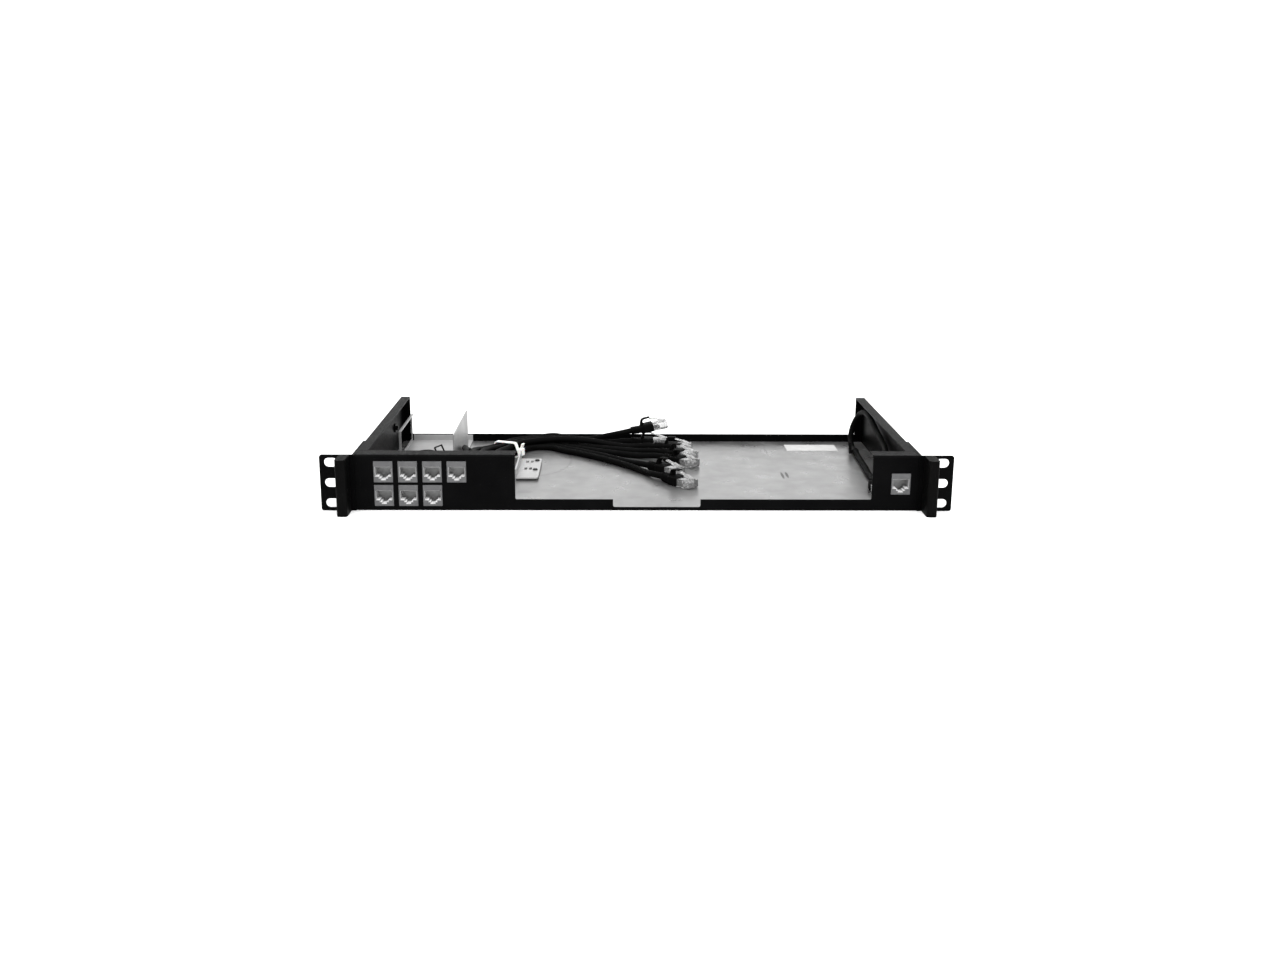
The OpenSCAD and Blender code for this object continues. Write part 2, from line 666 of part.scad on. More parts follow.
module rear_plugs() {
    color("#dfe3e4") for (i = [0 : 7]) at_port(i) {
        plug_shell();
        // A seated plug's latch is held down, and stays so
        translate([0, 1.6, 0]) rotate([90, 0, 0]) linear_extrude(3.2)
            polygon([[-0.5, 2], [-0.5, 3.2], [-4, 4.4], [-9, 5.4], [-15, 6], [-15, 5.2],
                [-9, 4.4], [-4, 3.4], [-2.6, 2]]);
    }
}

module rear_boots() {
    color("#121212") for (i = [0 : 7]) at_port(i) boot_body();
}

// ---------- Leads ----------
module lead(i) {
    p = smooth(route(i));
    s = sides(p);
    n = lead_sides;
    last = len(p) - 1;
    points = [for (k = [0 : last]) each ring(p[k], s[k], cross(s[k], along(p, k)), lead_d / 2)];
    quads = [for (k = [0 : last - 1], a = [0 : n - 1])
        let (b = (a + 1) % n) [k * n + b, (k + 1) * n + b, (k + 1) * n + a, k * n + a]];
    caps = [[for (a = [n - 1 : -1 : 0]) a], [for (a = [0 : n - 1]) last * n + a]];
    color("#101010") polyhedron(points, concat(quads, caps));
}

// ---------- Cable ties ----------
tie_w = 3.8;
tie_t = 0.9;
tie_station = bundle[0];
tie_low = floor_z + 0.1;
tie_high = high + tie_station[3] + lead_d / 2 + 0.2;

// Loop round the seven leads, in the plane across the run: s to the left, z up
module tie_outline(grow) {
    hull() {
        for (s = [-10.6, 10.4]) translate([s, tie_low + tie_t + 2]) circle(2 + grow);
        for (s = [-7.8, 7.9]) translate([s, tie_high - 2]) circle(2 + grow);
    }
}

module bundle_tie() {
    color("#f2f2ee") translate([tie_station[0], tie_station[1], 0]) rotate(tie_station[2]) {
        rotate([90, 0, 90]) translate([0, 0, -tie_w / 2]) linear_extrude(tie_w) difference() {
            tie_outline(tie_t);
            tie_outline(0);
        }
        // Head and cut tail
        block([-3.2, -16.8, 4.6], [3.2, -13.2, 10.6]);
        translate([0, -15.2, 10.5]) rotate([20, 0, 0]) block([-2.2, -0.55, 0], [2.2, 0.55, 5]);
    }
}

console_tie = [198.2, 68];

lead_tie_w = 2.5;
lead_tie_r = lead_d / 2 + 0.45;

module lead_tie() {
    color("#1c1c1c") translate([console_tie[0], console_tie[1] - lead_tie_w / 2, tie_lift])
        rotate([-90, 0, 0]) {
            difference() {
                cylinder(h = lead_tie_w, r = lead_tie_r);
                translate([0, 0, -cut])
                    cylinder(h = lead_tie_w + 2 * cut, r = lead_d / 2 + 0.15);
            }
            // Head and cut tail
            block([-5.6, -1.6, -0.6], [-lead_tie_r + 0.1, 1.8, 3.1]);
            translate([-4.6, -1.2, lead_tie_w / 2]) rotate([90, -35, 0])
                block([-0.5, -1.2, 0], [0.5, 1.2, 7]);
        }
}

floor_plate();
front_panel();
side_wall(-1);  // side_wall_left
side_wall(1);  // side_wall_right
rear_lip();
ear(-1);  // ear_left
ear(1);  // ear_right
grip(-1);  // grip_left
grip(1);  // grip_right
ear_screws();
grip_screws();
frame_rivets();
psu_cradle();
divider_plate();
cradle_screws();
cable_clip();
wall_clip();
device_bracket();
bracket_screws();
floor_label();
coupler(0);  // coupler_1
coupler(1);  // coupler_2
coupler(2);  // coupler_3
coupler(3);  // coupler_4
coupler(4);  // coupler_5
coupler(5);  // coupler_6
coupler(6);  // coupler_7
coupler(7);  // coupler_console
coupler_inserts();
coupler_contacts();
rear_plugs();
rear_boots();
lead(0);  // lead_1
lead(1);  // lead_2
lead(2);  // lead_3
lead(3);  // lead_4
lead(4);  // lead_5
lead(5);  // lead_6
lead(6);  // lead_7
lead(7);  // lead_console
free_plug(0);  // plug_1
free_plug(1);  // plug_2
free_plug(2);  // plug_3
free_plug(3);  // plug_4
free_plug(4);  // plug_5
free_plug(5);  // plug_6
free_plug(6);  // plug_7
free_plug(7);  // plug_console
free_latch(0);  // latch_1
free_latch(1);  // latch_2
free_latch(2);  // latch_3
free_latch(3);  // latch_4
free_latch(4);  // latch_5
free_latch(5);  // latch_6
free_latch(6);  // latch_7
free_latch(7);  // latch_console
free_boots();
plug_contacts();
bundle_tie();
lead_tie();
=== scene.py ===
"""Looks of the firewall rack-mount kit: black tray, galvanised floor, couplers and patch leads.

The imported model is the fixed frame. Its sheet parts, couplers and ties get rounded edges, and its
plugs, boots, latches and leads get detailed meshes, in the places that the frame gives. Shapes are
given in millimetres and scaled by MM. Everything else is in metres.
"""
import math

import bmesh
import bpy
from mathutils import Matrix, Vector


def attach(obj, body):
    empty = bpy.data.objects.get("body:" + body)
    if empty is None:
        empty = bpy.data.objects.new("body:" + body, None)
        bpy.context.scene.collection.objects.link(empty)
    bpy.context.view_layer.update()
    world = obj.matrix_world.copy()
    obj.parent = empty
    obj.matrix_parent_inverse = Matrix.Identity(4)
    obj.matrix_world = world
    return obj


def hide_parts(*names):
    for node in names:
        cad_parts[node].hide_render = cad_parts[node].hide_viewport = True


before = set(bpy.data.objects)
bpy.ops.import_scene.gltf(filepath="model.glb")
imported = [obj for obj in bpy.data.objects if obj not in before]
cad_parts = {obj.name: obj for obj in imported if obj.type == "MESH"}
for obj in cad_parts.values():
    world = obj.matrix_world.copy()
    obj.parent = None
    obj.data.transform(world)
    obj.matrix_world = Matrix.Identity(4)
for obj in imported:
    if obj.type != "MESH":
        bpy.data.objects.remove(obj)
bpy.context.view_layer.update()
MM = 0.001
LEADS = ["1", "2", "3", "4", "5", "6", "7", "console"]
Z_AXIS = Vector((0, 0, 1))


# ---------------------------------------------------------------- camera
CAMERA_AT = (-0.01883, -1.07181, 0.27741)
CAMERA_YAW, CAMERA_PITCH, CAMERA_ROLL = 1.207, 14.68, 0.387  # degrees: right, down, anticlockwise
LENS, FILM_WIDTH = 36.84, 36  # millimetres


def make_camera():
    """The camera that the reference picture was taken with, about a metre away."""
    yaw, pitch, roll = (math.radians(a) for a in (CAMERA_YAW, CAMERA_PITCH, CAMERA_ROLL))
    flat = math.cos(pitch)
    ahead = Vector((math.sin(yaw) * flat, math.cos(yaw) * flat, -math.sin(pitch)))
    level = Vector((math.cos(yaw), -math.sin(yaw), 0))
    upright = level.cross(ahead)
    right = math.cos(roll) * level + math.sin(roll) * upright
    up = -math.sin(roll) * level + math.cos(roll) * upright
    data = bpy.data.cameras.new("camera")
    data.lens, data.sensor_width = LENS, FILM_WIDTH
    data.clip_start, data.clip_end = 0.01, 50
    camera = bpy.data.objects.new("camera", data)
    turn = Matrix((right, up, -ahead)).transposed().to_4x4()
    camera.matrix_world = Matrix.Translation(CAMERA_AT) @ turn
    bpy.context.scene.collection.objects.link(camera)
    bpy.context.scene.camera = camera


make_camera()


# ---------------------------------------------------------------- node helpers
class Nodes:
    """A material's node tree, with short calls for the nodes used here."""

    def __init__(self, name):
        self.material = bpy.data.materials.new(name)
        self.material.use_nodes = True
        self.tree = self.material.node_tree
        self.shader = self.tree.nodes["Principled BSDF"]
        self.where = self.tree.nodes.new("ShaderNodeTexCoord").outputs["Object"]

    def set(self, **values):
        """Sets the shader's own sockets, such as specular_ior_level for Specular IOR Level."""
        for name, value in values.items():
            socket = name.replace("_", " ").title().replace("Ior", "IOR")
            self.shader.inputs[socket].default_value = value

    def link(self, output, name):
        self.tree.links.new(output, self.shader.inputs[name])

    def stretched(self, x, y, z):
        node = self.tree.nodes.new("ShaderNodeMapping")
        node.inputs["Scale"].default_value = (x, y, z)
        self.tree.links.new(self.where, node.inputs["Vector"])
        return node.outputs["Vector"]

    def noise(self, scale, detail=3, rough=0.5, vector=None):
        node = self.tree.nodes.new("ShaderNodeTexNoise")
        node.inputs["Scale"].default_value = scale
        node.inputs["Detail"].default_value = detail
        node.inputs["Roughness"].default_value = rough
        self.tree.links.new(vector or self.where, node.inputs["Vector"])
        return node.outputs["Fac"]

    def cells(self, scale, vector=None):
        node = self.tree.nodes.new("ShaderNodeTexVoronoi")
        node.inputs["Scale"].default_value = scale
        self.tree.links.new(vector or self.where, node.inputs["Vector"])
        return node.outputs["Color"]

    def ramp(self, value, low, high, start=0.3, end=0.7):
        """Turns a value into a shade from low to high, each a colour or one number for a grey."""
        node = self.tree.nodes.new("ShaderNodeValToRGB")
        for stop, place, shade in zip(node.color_ramp.elements, (start, end), (low, high)):
            stop.position = place
            stop.color = (*(shade if hasattr(shade, "__len__") else (shade,) * 3), 1)
        self.tree.links.new(value, node.inputs["Fac"])
        return node.outputs["Color"]

    def mix(self, kind, factor, a, b):
        node = self.tree.nodes.new("ShaderNodeMix")
        node.data_type, node.blend_type = "RGBA", kind
        node.inputs["Factor"].default_value = factor
        self.tree.links.new(a, node.inputs["A"])
        self.tree.links.new(b, node.inputs["B"])
        return node.outputs["Result"]

    def oval_mark(self, x, y, half_x, half_y, inner, outer, shade):
        """1 off the mark and shade on it: an oval spot, or an oval line when inner is above 0."""
        edge, core = 0.05, 0.6  # a line's soft edge and a spot's even middle, as shares
        if inner:
            stops = [(0, 1), (inner - edge, 1), (inner, shade), (outer - edge, 1)]
        else:
            stops = [(0, shade), (outer * core, shade), (outer, 1)]
        place = self.tree.nodes.new("ShaderNodeMapping")
        place.inputs["Location"].default_value = (-x / half_x, -y / half_y, 0)
        place.inputs["Scale"].default_value = (1 / half_x, 1 / half_y, 0)
        self.tree.links.new(self.where, place.inputs["Vector"])
        reach = self.tree.nodes.new("ShaderNodeVectorMath")
        reach.operation = "LENGTH"
        self.tree.links.new(place.outputs["Vector"], reach.inputs[0])
        # Halved, because a ramp ends at 1 and a line lies beyond it
        half = self.tree.nodes.new("ShaderNodeMath")
        half.operation, half.inputs[1].default_value = "MULTIPLY", 0.5
        self.tree.links.new(reach.outputs["Value"], half.inputs[0])
        node = self.tree.nodes.new("ShaderNodeValToRGB")
        while len(node.color_ramp.elements) < len(stops):
            node.color_ramp.elements.new(0.5)
        for stop, (at, grey) in zip(node.color_ramp.elements, stops):
            stop.position, stop.color = at / 2, (grey, grey, grey, 1)
        self.tree.links.new(half.outputs["Value"], node.inputs["Fac"])
        return node.outputs["Color"]

    def bump(self, height, distance, strength=1.0, after=None):
        node = self.tree.nodes.new("ShaderNodeBump")
        node.inputs["Distance"].default_value = distance
        node.inputs["Strength"].default_value = strength
        self.tree.links.new(height, node.inputs["Height"])
        if after:
            self.tree.links.new(after, node.inputs["Normal"])
        return node.outputs["Normal"]


# ---------------------------------------------------------------- materials
def powder_coat():
    """Fine-textured black paint: orange peel about a millimetre across, with a finer grit on it."""
    n = Nodes("powder_coat")
    n.set(metallic=0.0, specular_ior_level=0.018)
    n.link(n.ramp(n.noise(60, 4), (0.0008, 0.0008, 0.0009), (0.0016, 0.0016, 0.0017)), "Base Color")
    n.link(n.ramp(n.noise(700, 3), 0.34, 0.46), "Roughness")
    peel = n.bump(n.noise(900, 2), 0.00006, 0.5)
    n.link(n.bump(n.noise(4200, 2, 0.6), 0.00002, 0.4, peel), "Normal")
    return n.material


def moulded_black(name, shade, rough_low, rough_high, grain=2600):
    """Injection-moulded black plastic or rubber with an even spark-eroded grain."""
    n = Nodes(name)
    n.set(metallic=0.0, specular_ior_level=0.02)
    n.link(n.ramp(n.noise(90, 3), (shade * 0.85,) * 3, (shade * 1.25,) * 3), "Base Color")
    n.link(n.ramp(n.noise(500, 3), rough_low, rough_high), "Roughness")
    n.link(n.bump(n.noise(grain, 3, 0.6), 0.00003, 0.5), "Normal")
    return n.material


# Marks on the floor plate: x, y, half lengths, inner and outer edge as shares of them, shade. The
# last, an oval line, is a painted shadow of a lead.
FLOOR_MARKS_AND_SHADOW = [(0.1236, -0.006, 0.0014, 0.013, 0, 1, 0.05), (0.1276, -0.004, 0.0014, 0.012, 0, 1, 0.07),
          (-0.09, -0.059, 0.008, 0.006, 0, 1, 0.8), (-0.085, 0.045, 0.029, 0.052, 1.0, 1.12, 0.72)]


def galvanised(name, low, high, rough=0.42, metal=0.55, marked_and_shaded=False):
    """Zinc-coated sheet: large soft spangle, fine rolling lines along X and a few dull patches.
    When its last argument is set, it also carries the floor's marks, the last of them a painted
    shadow of a lead.
    """
    n = Nodes(name)
    n.set(metallic=metal)
    spangle = n.ramp(n.cells(170), (low,) * 3, (high,) * 3, 0.1, 0.9)
    cloud = n.ramp(n.noise(14, 5, 0.6), (low,) * 3, (high,) * 3, 0.3, 0.7)
    shade = n.mix("MIX", 0.65, spangle, cloud)
    # The floor's marks, among them an oval line that is a painted shadow of a lead
    for oval_mark in FLOOR_MARKS_AND_SHADOW if marked_and_shaded else ():
        shade = n.mix("MULTIPLY", 1.0, shade, n.oval_mark(*oval_mark))
    n.link(shade, "Base Color")
    n.link(n.ramp(n.noise(45, 4), rough - 0.05, rough + 0.1), "Roughness")
    lines = n.noise(1, 3, 0.6, n.stretched(40, 2600, 2600))
    n.link(n.bump(n.noise(500, 3), 0.00002, 0.3, n.bump(lines, 0.00001, 0.35)), "Normal")
    return n.material


def plated(name, low, high, rough):
    """Nickel or zinc plate on a small part, with a faint fine grain."""
    n = Nodes(name)
    n.set(metallic=0.9)
    n.link(n.ramp(n.noise(260, 4), (low,) * 3, (high,) * 3), "Base Color")
    n.link(n.ramp(n.noise(900, 3), rough, rough + 0.12), "Roughness")
    n.link(n.bump(n.noise(3000, 2), 0.00001, 0.4), "Normal")
    return n.material


def cast_shell():
    """Satin grey die-cast shell of a coupler."""
    n = Nodes("coupler_shell")
    n.set(metallic=0.35)
    n.link(n.ramp(n.noise(220, 4), (0.06, 0.06, 0.062), (0.08, 0.08, 0.082)), "Base Color")
    n.link(n.ramp(n.noise(900, 3), 0.36, 0.5), "Roughness")
    n.link(n.bump(n.noise(2600, 3), 0.00002, 0.4), "Normal")
    return n.material


def clear_plastic():
    """Clear polycarbonate with faint flow marks."""
    n = Nodes("clear_plastic")
    n.set(ior=1.58, transmission_weight=0.86, metallic=0.0)
    n.link(n.ramp(n.noise(120, 3), (0.5, 0.5, 0.5), (0.68, 0.68, 0.68)), "Base Color")
    n.link(n.ramp(n.noise(400, 3), 0.05, 0.16), "Roughness")
    n.link(n.bump(n.noise(350, 2), 0.00003, 0.3), "Normal")
    return n.material


def pale(name, low, high, rough, grain, subsurface=0.0):
    """White nylon or paper."""
    n = Nodes(name)
    n.set(metallic=0.0, subsurface_weight=subsurface, subsurface_scale=0.002)
    n.link(n.ramp(n.noise(150, 4), low, high), "Base Color")
    n.link(n.ramp(n.noise(700, 3), rough, rough + 0.15), "Roughness")
    n.link(n.bump(n.noise(grain, 3), 0.00002, 0.4), "Normal")
    return n.material


def socket_plastic():
    """Socket body: grey plastic, with painted light on the ledges that face up in its mouth: pale
    near the mouth, the body's grey further in.
    """
    n = Nodes("socket_plastic")
    n.set(metallic=0.0)
    axes = n.tree.nodes.new("ShaderNodeSeparateXYZ")
    n.tree.links.new(n.where, axes.inputs["Vector"])
    depth = n.tree.nodes.new("ShaderNodeMapRange")
    depth.inputs["From Min"].default_value = SOCKET_FACE
    depth.inputs["From Max"].default_value = SOCKET_END
    n.tree.links.new(axes.outputs["Y"], depth.inputs["Value"])
    facing = n.tree.nodes.new("ShaderNodeSeparateXYZ")
    n.tree.links.new(n.tree.nodes["Texture Coordinate"].outputs["Normal"], facing.inputs["Vector"])
    # Painted light: faces that look up are pale near the mouth, as if lit from above, and grey
    # deeper in
    painted_light_by_depth = n.ramp(depth.outputs["Result"], (0.9,) * 3, (0.25,) * 3, 0.62, 0.7)
    grey = n.ramp(n.noise(400, 3), (0.22,) * 3, (0.28,) * 3)
    grey_with_painted_light = n.mix("MIX", 1.0, grey, painted_light_by_depth)
    n.tree.links.new(n.ramp(facing.outputs["Z"], 0.0, 1.0, 0.4, 0.6), grey_with_painted_light.node.inputs["Factor"])
    n.link(grey_with_painted_light, "Base Color")
    n.link(n.ramp(n.noise(900, 3), 0.28, 0.42), "Roughness")
    n.link(n.bump(n.noise(1800, 3), 0.00002, 0.4), "Normal")
    return n.material


def wire_material():
    """Pale insulation whose shade changes from wire to wire."""
    n = Nodes("wire_insulation")
    n.set(metallic=0.0)
    n.link(n.ramp(n.cells(900), (0.05, 0.05, 0.05), (0.4, 0.4, 0.4), 0.2, 0.8), "Base Color")
    n.link(n.ramp(n.noise(800, 2), 0.35, 0.5), "Roughness")
    return n.material


SOCKET_FACE, SOCKET_END = -0.1065, -0.0945  # Y of a socket's mouth and of its end wall
BLACK = powder_coat()
GRIP = moulded_black("grip_plastic", 0.0016, 0.42, 0.54)
BOOT = moulded_black("boot_rubber", 0.002, 0.5, 0.64, 1900)
JACKET = moulded_black("lead_jacket", 0.0016, 0.5, 0.6, 1500)
CLIP = moulded_black("clip_nylon", 0.004, 0.4, 0.5)
# The floor plate's marks include a painted shadow of a lead
ZINC = galvanised("galvanised_floor", 0.225, 0.28, 0.3, 0.85, True)
ZINC_BRIGHT = galvanised("galvanised_bracket", 0.33, 0.4, 0.4)
ZINC_DULL = galvanised("galvanised_cradle", 0.26, 0.32, 0.44)
SHELL = cast_shell()
SCREW = plated("zinc_screw", 0.4, 0.52, 0.3)
SCREW_DARK = plated("dark_zinc_screw", 0.02, 0.035, 0.35)
SCREW_BLACK = plated("black_oxide", 0.012, 0.022, 0.34)
GOLD = plated("contact_plate", 0.55, 0.68, 0.2)
CLEAR = clear_plastic()
SOCKET = socket_plastic()
WIRE = wire_material()
NYLON = pale("white_nylon", (0.78, 0.78, 0.75), (0.88, 0.88, 0.86), 0.3, 900, 0.15)
PAPER = pale("label_paper", (0.36, 0.36, 0.355), (0.43, 0.43, 0.425), 0.5, 2500)


# ---------------------------------------------------------------- mesh helpers
def new_object(name, data, material):
    piece = bpy.data.objects.new(name, data)
    bpy.context.scene.collection.objects.link(piece)
    data.materials.clear()
    data.materials.append(material)
    return piece


def from_bmesh(name, bm, material, smooth=40):
    """Closes a bmesh into an object, with edges sharper than smooth (in degrees) kept sharp."""
    bmesh.ops.recalc_face_normals(bm, faces=bm.faces)
    data = bpy.data.meshes.new(name)
    bm.to_mesh(data)
    bm.free()
    data.shade_smooth()
    data.set_sharp_from_angle(angle=math.radians(smooth))
    return new_object(name, data, material)


def shade_smoothly(piece, angle):
    """Smooth shading, with edges sharper than angle (in degrees) kept sharp."""
    piece.data.shade_smooth()
    piece.data.set_sharp_from_angle(angle=math.radians(angle))


def apply_modifiers(piece):
    """Turns a piece's modifiers into its mesh."""
    graph = bpy.context.evaluated_depsgraph_get()
    made = bpy.data.meshes.new_from_object(piece.evaluated_get(graph))
    piece.modifiers.clear()
    old, piece.data = piece.data, made
    bpy.data.meshes.remove(old)


def bevel(piece, width):
    """Rounds the edges where faces meet at more than 35 degrees."""
    mod = piece.modifiers.new("bevel", "BEVEL")
    mod.width, mod.segments = width, 2
    mod.limit_method, mod.angle_limit = "ANGLE", math.radians(35)
    mod.use_clamp_overlap = True
    mod.harden_normals = False
    apply_modifiers(piece)
    shade_smoothly(piece, 50)


def softened(node, material, width):
    """A copy of a CAD node with its edges rounded by width, which stands for it."""
    bm = bmesh.new()
    bm.from_mesh(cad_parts[node].data)
    bmesh.ops.remove_doubles(bm, verts=bm.verts, dist=1e-6)
    bmesh.ops.dissolve_limit(bm, angle_limit=math.radians(1), verts=bm.verts, edges=bm.edges)
    # A bevel leaves bad faces round a panel with windows, unless it is cut into triangles
    bmesh.ops.triangulate(bm, faces=[f for f in bm.faces if len(f.verts) > 4])
    piece = from_bmesh(node + "_finished", bm, material)
    if width:
        bevel(piece, width)
        mod = piece.modifiers.new("normals", "WEIGHTED_NORMAL")
        mod.weight, mod.keep_sharp = 100, True
        apply_modifiers(piece)
    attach(piece, "root")
    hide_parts(node)


def transform_of(tip, heading, pitch):
    """Where a plug-frame shape goes: tip at tip, body towards its own -X."""
    return (Matrix.Translation(Vector(tip) * MM) @ Matrix.Rotation(math.radians(heading), 4, "Z")
            @ Matrix.Rotation(math.radians(-pitch), 4, "Y"))


def copy_at(name, source, place):
    data = source.data.copy()
    data.transform(place)
    data.update()
    piece = bpy.data.objects.new(name, data)
    bpy.context.scene.collection.objects.link(piece)
    return piece


def box_into(bm, low, high):
    """Adds a box between two corners, in millimetres."""
    low, high = Vector(low), Vector(high)
    size, middle = high - low, (low + high) / 2
    place = Matrix.Translation(middle * MM) @ Matrix.Diagonal((*(size * MM), 1))
    bmesh.ops.create_cube(bm, size=1, matrix=place)


def side_profile(bm, outline, width, middle=0.0):
    """Adds an outline in x and z, in millimetres, extruded by width along Y."""
    low = [bm.verts.new((x * MM, (middle - width / 2) * MM, z * MM)) for x, z in outline]
    high = [bm.verts.new((x * MM, (middle + width / 2) * MM, z * MM)) for x, z in outline]
    bm.faces.new(low)
    bm.faces.new(high[::-1])
    for i in range(len(outline)):
        j = (i + 1) % len(outline)
        bm.faces.new((low[j], low[i], high[i], high[j]))


def loft(bm, rings):
    """Skins rings of points, each a list of the same length, and closes both ends."""
    made = [[bm.verts.new(p) for p in ring] for ring in rings]
    for a, b in zip(made, made[1:]):
        for i in range(len(a)):
            j = (i + 1) % len(a)
            bm.faces.new((a[i], a[j], b[j], b[i]))
    bm.faces.new(made[0][::-1])
    bm.faces.new(made[-1])


def rounded_ring(x, half_w, low, high, radius, per_corner=5):
    """A rounded rectangle across the X axis, in millimetres."""
    radius = min(radius, half_w * 0.999, (high - low) / 2 * 0.999)
    corners = [(half_w - radius, high - radius, 0), (-half_w + radius, high - radius, 90),
               (-half_w + radius, low + radius, 180), (half_w - radius, low + radius, 270)]
    ring = []
    for cy, cz, start in corners:
        for k in range(per_corner):
            a = math.radians(start + 90 * k / (per_corner - 1))
            ring.append(Vector((x, cy + radius * math.cos(a), cz + radius * math.sin(a))) * MM)
    return ring


def combine(piece, operation, other):
    """Joins another piece to this one (UNION) or takes it out (DIFFERENCE), and removes it."""
    mod = piece.modifiers.new("combine", "BOOLEAN")
    mod.operation, mod.solver, mod.object = operation, "EXACT", other
    apply_modifiers(piece)
    bpy.data.objects.remove(other)


# ---------------------------------------------------------------- leads
# The routes repeat the points of the design, in millimetres. route() scales them to metres.
COUPLERS = [(-193.4 + 18.5 * i, 30.5) for i in range(4)]  # x and z
COUPLERS += [(-193.4 + 18.5 * i, 11.9) for i in range(3)] + [(201.4, 21.4)]
EXIT_Y = -57.36  # where the boots of the seated plugs end
STRAIGHT = 2  # straight stretch of a lead next to a boot
SEAM = 0.04  # between a lead's end and its boot
BUNDLE = [(-114, 61, 68, 1.4), (-104.5, 79.5, 47, 0.9), (-88, 93.5, 12, 0)]  # x, y, heading, lift
LOW, HIGH = 5, 10.5  # height of the bundle's two layers
LANES = [(0, HIGH), (5.6, HIGH), (-5.6, HIGH),  # each lead's offset to the left, and its layer
         (8.4, LOW), (-2.8, LOW), (2.8, LOW), (-8.4, LOW)]
STARTS = [
    [(-193.4, -52, 30.5), (-191, -45.5, 29.5), (-184.5, -41.5, 27.5), (-175, -41, 24),
        (-162, -41, 20), (-149, -41, 18.3), (-139, -40.5, 17.8), (-132.5, -36, 17.6),
        (-129.8, -26, 17.6), (-130, -8, 17.4), (-130.5, 10, 16.6), (-130, 27, 15.4),
        (-126.5, 40, 13.4), (-120.5, 51, 12.2)],
    [(-174.9, -52, 30.5), (-172.5, -45.5, 30.5), (-166, -41.5, 29.8), (-157, -41, 26.8),
        (-148, -41, 25.2), (-141, -38.5, 24.1), (-137, -32, 23.1), (-136, -20, 22.2),
        (-137, -2, 20.4), (-138, 15, 18), (-136.5, 30, 15.4), (-132, 43, 13), (-126, 53, 12)],
    [(-155.4, -50.9, 30.4), (-152.6, -47.9, 29.8), (-147, -46.7, 28), (-138, -46.7, 24.6),
        (-128, -46.7, 21.6), (-120, -44.5, 21), (-115.5, -37, 19.5), (-115, -25, 18.4),
        (-117, -8, 17), (-119, 9, 15.6), (-119, 24, 14), (-116.5, 37, 12.8), (-112.5, 48, 12)],
    [(-137.9, -50, 30.5), (-138.2, -40, 30.3), (-140, -24, 28.8), (-142.5, -6, 25.6),
        (-144, 10, 21.4), (-143.5, 24, 16.6), (-140.5, 37, 11.4), (-135, 48, 7.8),
        (-128, 56, 6.6)],
    [(-193.4, -52, 11.9), (-191, -45.5, 10), (-184.5, -41.5, 7.5), (-175, -41, 5.5),
        (-160, -41, 5), (-145, -41, 5), (-131, -41.5, 5), (-122, -39.5, 5), (-117.5, -31.5, 5),
        (-117.5, -18, 5), (-121, -2, 5), (-124.5, 12, 5), (-125, 25, 5), (-122.5, 37, 5),
        (-118, 48, 5.4)],
    [(-174.9, -52, 11.9), (-172.5, -45.5, 12.3), (-166, -41.5, 12), (-156, -41, 11.6),
        (-145, -41, 11), (-135, -40.3, 11), (-128.5, -36.5, 10), (-125, -28, 7.5),
        (-125.5, -15, 5.5), (-128.5, 0, 5), (-132, 15, 5), (-132.5, 29, 5), (-129.5, 41, 5),
        (-123.5, 51.5, 5.5)],
    [(-155.4, -50.9, 11.6), (-152.6, -47.9, 10.7), (-146, -46.9, 8.5), (-135, -47, 6),
        (-123, -46.5, 5), (-115, -43, 5), (-110.5, -34.5, 5), (-110, -20, 5), (-112.5, -4, 5),
        (-116, 11, 5), (-116.5, 24, 5), (-114, 36, 5), (-110, 47, 5.4)]]
ENDS = [
    [(-72, 99, 10.5), (-58, 101, 10), (-44, 103, 7.5), (-30, 104, 5.5), (-18, 104, 5.3)],
    [(-74, 107, 10.7), (-58, 111, 7.5), (-45, 113.3, 5.8), (-33.5, 110.7, 8), (-22, 104.5, 11.7)],
    [(-72, 92.5, 10.5), (-56, 92, 10.5), (-38, 91, 9), (-22, 89.5, 6.5), (-6, 87.5, 5.2)],
    [(-70, 102, 5), (-52, 91.5, 5), (-33, 83, 5), (-12, 75.5, 5), (3, 70.5, 5)],
    [(-73, 89, 5), (-60.5, 79, 5), (-42, 64, 5), (-24, 48, 5), (-8, 31.5, 5)],
    [(-71, 95, 5), (-56, 84.5, 5), (-37, 72, 5), (-17, 62, 5), (4, 53, 5)],
    [(-75, 83.5, 5), (-65, 74, 5), (-46, 58.5, 5), (-28, 41.5, 5), (-14, 26, 5), (-2, 10.5, 5),
     (9, -7, 5)]]
CONSOLE_ROUTE = [
    (201.4, -50, 21.4), (203.5, -38, 22.3), (207, -22, 23.8),
    (209.3, -6, 25.5), (209.8, 16, 28.5), (209.8, 38, 31.7), (209.8, 58, 35), (209.6, 75, 37.3),
    (209, 90, 36.5), (207.5, 102, 32.5), (205, 109, 25.5), (202.5, 111, 17), (200.8, 107.5, 9.5),
    (199.5, 97, 5.6), (198.5, 84, 5), (198.2, 68, 5.6), (197.5, 50, 5), (197, 30, 5),
    (196.3, 8, 5), (195.2, -14, 5)]
PLUG_Z = 6.3
PLUGS = [  # tip, heading and pitch
    ((31, 104, PLUG_Z), 0, 0), ((30, 104, 23.9), 6, 12), ((52, 80, PLUG_Z), -8, 0),
    ((54, 48, PLUG_Z), -25, 0), ((38, -8, PLUG_Z), -38, 0), ((52, 20, PLUG_Z), -40, 0),
    ((46, -49, PLUG_Z), -45, 0), ((193, -72, PLUG_Z), -93, 0)]
PLUG_ALL = 33.5  # from a plug's tip to the end of its boot
BEFORE_PLUG = 7  # last bend of a lead, measured back from its boot
LEAD_D = 0.0052
TUBE_SIDES = 16
STEPS = 6  # rings between two points of a route


